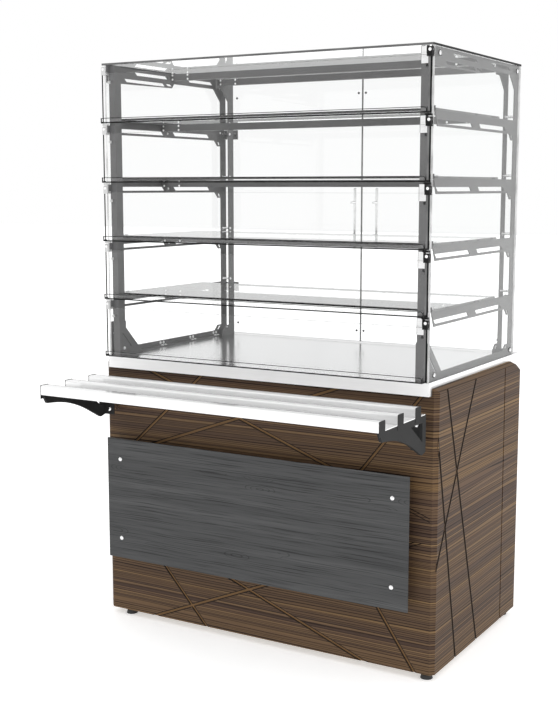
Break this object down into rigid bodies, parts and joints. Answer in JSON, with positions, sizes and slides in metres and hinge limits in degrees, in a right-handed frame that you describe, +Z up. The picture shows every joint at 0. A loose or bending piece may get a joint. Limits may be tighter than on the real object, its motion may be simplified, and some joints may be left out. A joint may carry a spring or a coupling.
{
  "type": "ambient display case",
  "caption": "Self-service display case: wood-clad counter with tray slide and stainless worktop under a tiered glass cabinet with customer flaps and rear glass doors.",
  "frame": {"origin": "on the floor, under the middle of the bounding box", "axes": "+X along the counter to the customer's right, +Y from the customer side to the operator side, +Z up"},
  "size_m": [1.136, 1.036, 1.745],
  "materials": {
    "striped_wood": "horizontally striped veneer, satin lacquer",
    "grey_wood": "dark grey grained laminate, matt",
    "carcass_board": "plain board",
    "brushed_stainless": "brushed",
    "polished_steel": "polished",
    "grey_coating": "fine powder coat",
    "bracket_coating": "dark powder coat",
    "clear_glass": "clear, polished edges",
    "clear_acrylic": "clear, polished edges",
    "black_plastic": "moulded",
    "black_rubber": "matt"
  },
  "bodies": {
    "cabinet": {"base_angle_left": "grey_coating", "base_angle_right": "grey_coating", "base_floor": "carcass_board", "base_shelf": "carcass_board", "beam_laps": "grey_coating", "door_hinges": "polished_steel", "flap_hinge_plates": "polished_steel", "flap_stops": "black_rubber", "foot_pads": "black_rubber", "foot_studs": "polished_steel", "front_gussets": "grey_coating", "front_panel": "striped_wood", "front_upright_left": "grey_coating", "front_upright_right": "grey_coating", "glass_bolts": "polished_steel", "overlay_panel": "grey_wood", "panel_standoffs": "polished_steel", "post_spacers": "polished_steel", "rear_post_left": "grey_coating", "rear_post_right": "grey_coating", "rear_rail": "carcass_board", "shelf_beams": "grey_coating", "shelf_clips": "black_plastic", "shelf_glass_1": "clear_glass", "shelf_glass_2": "clear_glass", "shelf_glass_3": "clear_glass", "shelf_glass_4": "clear_glass", "shelf_rests": "grey_coating", "side_frame_left": "grey_coating", "side_frame_right": "grey_coating", "side_glass_left": "clear_glass", "side_glass_right": "clear_glass", "side_panel_left": "striped_wood", "side_panel_right": "striped_wood", "standoff_heads": "polished_steel", "top_beam_middle": "grey_coating", "top_beam_rear": "grey_coating", "top_glass": "clear_glass", "tray_bracket_left": "bracket_coating", "tray_bracket_right": "bracket_coating", "tray_slide": "brushed_stainless", "worktop": "brushed_stainless", "worktop_core": "carcass_board"},
    "flap_1": {"flap_1": "clear_acrylic", "flap_pivots_1": "black_plastic"},
    "flap_2": {"flap_2": "clear_acrylic", "flap_pivots_2": "black_plastic"},
    "flap_3": {"flap_3": "clear_acrylic", "flap_pivots_3": "black_plastic"},
    "flap_4": {"flap_4": "clear_acrylic", "flap_pivots_4": "black_plastic"},
    "flap_5": {"flap_5": "clear_acrylic", "flap_pivots_5": "black_plastic"},
    "rear_door_left": {"rear_door_left": "clear_glass", "door_clamps_left": "polished_steel", "door_handle_left": "polished_steel"},
    "rear_door_right": {"rear_door_right": "clear_glass", "door_clamps_right": "polished_steel", "door_handle_right": "polished_steel"}
  },
  "joints": [
    {"name": "flap_1_hinge", "type": "hinge", "parent": "cabinet", "child": "flap_1", "pos_m": [0, -0.2075, 1.727], "axis": [-1, 0, 0], "range_deg": [0, 80]},
    {"name": "flap_2_hinge", "type": "hinge", "parent": "cabinet", "child": "flap_2", "pos_m": [0, -0.2075, 1.5485], "axis": [-1, 0, 0], "range_deg": [0, 80]},
    {"name": "flap_3_hinge", "type": "hinge", "parent": "cabinet", "child": "flap_3", "pos_m": [0, -0.2075, 1.37], "axis": [-1, 0, 0], "range_deg": [0, 80]},
    {"name": "flap_4_hinge", "type": "hinge", "parent": "cabinet", "child": "flap_4", "pos_m": [0, -0.2075, 1.1915], "axis": [-1, 0, 0], "range_deg": [0, 80]},
    {"name": "flap_5_hinge", "type": "hinge", "parent": "cabinet", "child": "flap_5", "pos_m": [0, -0.2075, 1.013], "axis": [-1, 0, 0], "range_deg": [0, 80]},
    {"name": "rear_door_left_hinge", "type": "hinge", "parent": "cabinet", "child": "rear_door_left", "pos_m": [-0.5335, 0.48, 1.2975], "axis": [0, 0, 1], "range_deg": [0, 100]},
    {"name": "rear_door_right_hinge", "type": "hinge", "parent": "cabinet", "child": "rear_door_right", "pos_m": [0.5335, 0.48, 1.2975], "axis": [0, 0, -1], "range_deg": [0, 100]}
  ]
}
